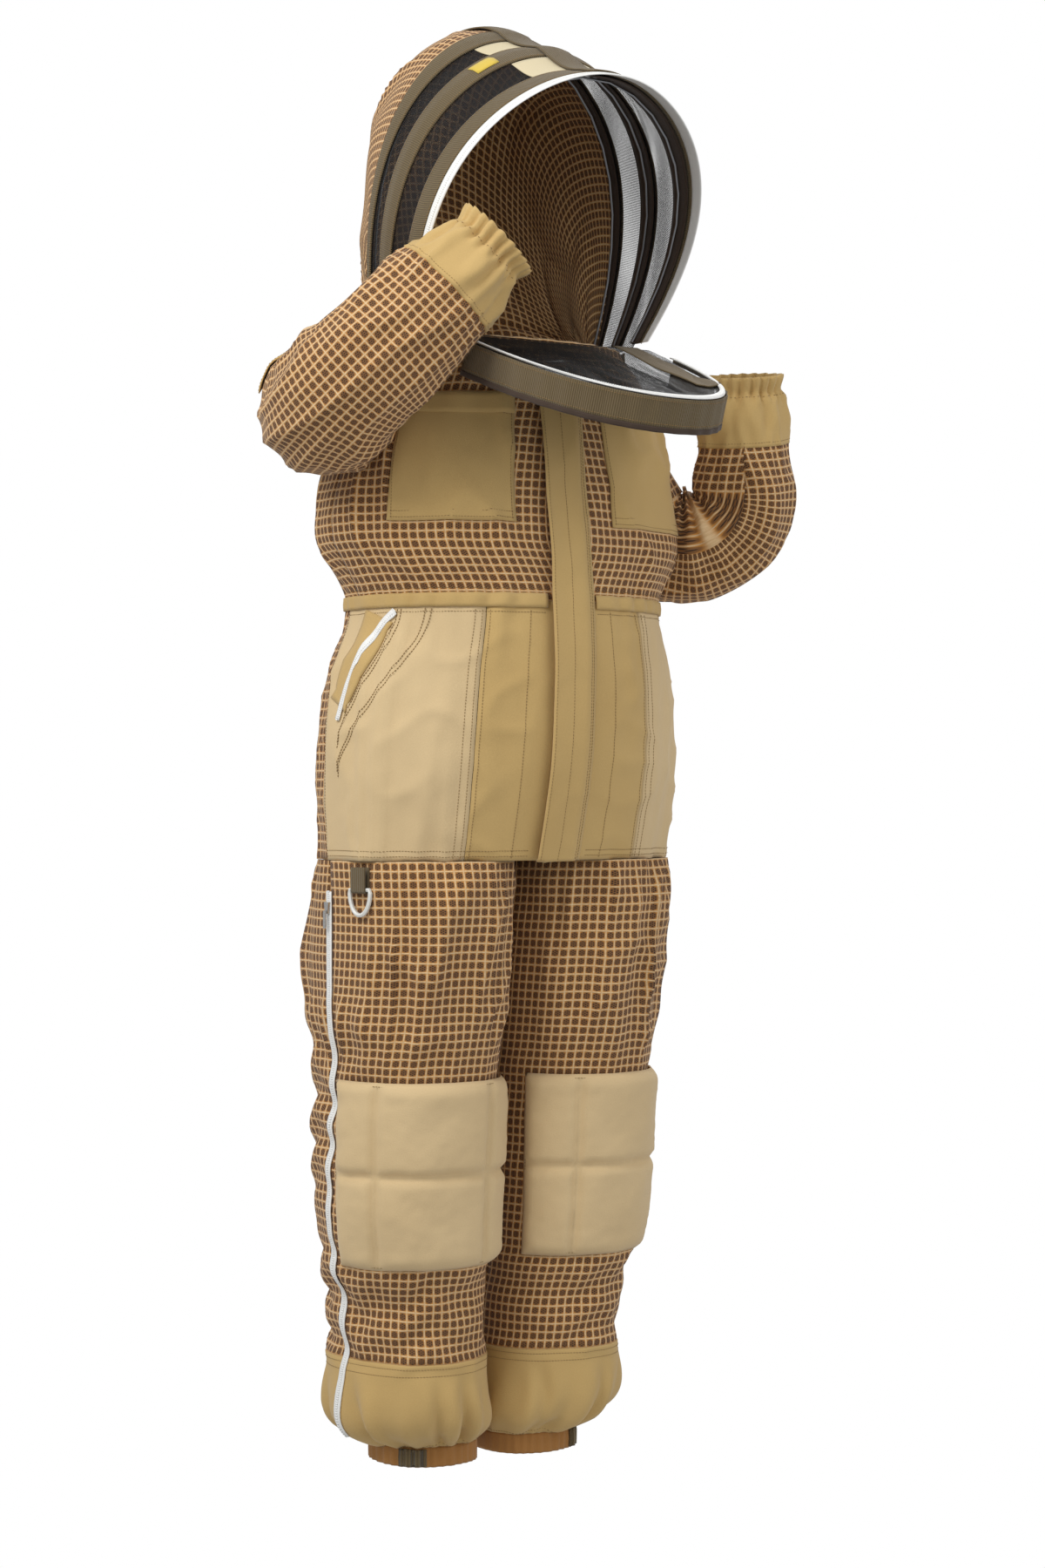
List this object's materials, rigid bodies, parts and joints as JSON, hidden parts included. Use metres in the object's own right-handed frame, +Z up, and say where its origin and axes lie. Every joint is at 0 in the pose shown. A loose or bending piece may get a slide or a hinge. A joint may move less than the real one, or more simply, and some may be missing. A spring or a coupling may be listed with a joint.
{
  "type": "beekeeping suit",
  "caption": "Full-length ventilated beekeeping suit with canvas hip panels, padded knees, ankle tabs and a hooped veil hood whose front veil is unzipped and dropped.",
  "frame": {"origin": "on the floor-side plane of the ankle hems, under the middle of the shoulders", "axes": "+Z up, -Y towards the wearer's front, -X towards the wearer's right"},
  "size_m": [0.6833, 0.5282, 1.6434],
  "materials": {
    "ventilated_mesh": "three-layer open mesh, ochre ground with a pale woven grid and dark vent holes",
    "khaki_canvas": "khaki cotton canvas with stitched hems",
    "tan_canvas": "light tan padded canvas",
    "webbing": "taupe ribbed binding tape",
    "black_veil": "fine see-through black mesh",
    "white_zip": "white coil zip on woven tape",
    "ankle_elastic": "ribbed orange-tan elastic",
    "white_plastic": "moulded white plastic",
    "zip_metal": "bright nickel-plated zinc",
    "spring_wire": "spring steel wire inside the bindings"
  },
  "bodies": {
    "suit": {"sleeve_right_outer": "ventilated_mesh", "sleeve_right_inner": "ventilated_mesh", "cuff_right": "khaki_canvas", "front_yoke_right": "ventilated_mesh", "belly_panel_right": "khaki_canvas", "hip_panel_right": "tan_canvas", "chest_pocket_right": "khaki_canvas", "leg_front_right": "ventilated_mesh", "leg_back_right": "ventilated_mesh", "knee_pad_right": "tan_canvas", "leg_hem_right": "khaki_canvas", "ankle_elastic_right": "ankle_elastic", "leg_zip_right": "white_zip", "sleeve_left_outer": "ventilated_mesh", "sleeve_left_inner": "ventilated_mesh", "cuff_left": "khaki_canvas", "front_yoke_left": "ventilated_mesh", "belly_panel_left": "khaki_canvas", "hip_panel_left": "tan_canvas", "chest_pocket_left": "khaki_canvas", "leg_front_left": "ventilated_mesh", "leg_back_left": "ventilated_mesh", "knee_pad_left": "tan_canvas", "leg_hem_left": "khaki_canvas", "ankle_elastic_left": "ankle_elastic", "leg_zip_left": "white_zip", "back_yoke": "ventilated_mesh", "seat_panel": "ventilated_mesh", "waistband": "khaki_canvas", "main_zip": "white_zip", "storm_flap": "khaki_canvas", "hip_pocket_zip": "white_zip", "webbing_loop": "webbing", "collar": "ventilated_mesh", "sleeve_pocket": "khaki_canvas", "hood_base_tape": "webbing"},
    "hood": {"veil_front": "black_veil", "veil_middle": "black_veil", "hood_back": "ventilated_mesh", "binding_front": "webbing", "hoop_front": "spring_wire", "binding_middle": "webbing", "hoop_middle": "spring_wire", "binding_rear": "webbing", "hoop_rear": "spring_wire", "hood_zip": "white_zip", "crest_flap": "webbing"},
    "veil_flap": {"veil_flap_mesh": "black_veil", "veil_flap_zip": "white_zip", "veil_flap_band": "webbing", "veil_flap_hoop": "spring_wire"},
    "main_zip_slider": {"main_zip_slider": "zip_metal"},
    "leg_zip_slider_right": {"leg_zip_slider_right": "zip_metal"},
    "leg_zip_slider_left": {"leg_zip_slider_left": "zip_metal"},
    "d_ring": {"d_ring": "white_plastic"},
    "ankle_tab_right": {"ankle_tab_right": "webbing"},
    "ankle_tab_left": {"ankle_tab_left": "webbing"}
  },
  "joints": [
    {"name": "hood_fold", "type": "hinge", "parent": "suit", "child": "hood", "pos_m": [0, 0.1, 1.2767], "axis": [-1, 0, 0], "range_deg": [0, 40]},
    {"name": "veil_flap_droop", "type": "hinge", "parent": "suit", "child": "veil_flap", "pos_m": [0, -0.1072, 1.27], "axis": [1, 0, 0], "range_deg": [0, 35]},
    {"name": "main_zip_slide", "type": "slide", "parent": "suit", "child": "main_zip_slider", "axis": [0, -0.1208, -0.9927], "range_m": [0, 0.2]},
    {"name": "leg_zip_right_slide", "type": "slide", "parent": "suit", "child": "leg_zip_slider_right", "axis": [0.033, 0.043, -0.9985], "range_m": [0, 0.1]},
    {"name": "leg_zip_left_slide", "type": "slide", "parent": "suit", "child": "leg_zip_slider_left", "axis": [-0.033, 0.043, -0.9985], "range_m": [0, 0.1]},
    {"name": "d_ring_swing", "type": "hinge", "parent": "suit", "child": "d_ring", "pos_m": [-0.20556, -0.03333, 0.658], "axis": [-0.2606, 0.9654, 0], "range_deg": [0, 90]},
    {"name": "ankle_tab_right_peel", "type": "hinge", "parent": "suit", "child": "ankle_tab_right", "pos_m": [-0.1165, 0.0285, 0.012], "axis": [0, 0, -1], "range_deg": [0, 60]},
    {"name": "ankle_tab_left_peel", "type": "hinge", "parent": "suit", "child": "ankle_tab_left", "pos_m": [0.1165, 0.0285, 0.012], "axis": [0, 0, 1], "range_deg": [0, 60]}
  ]
}
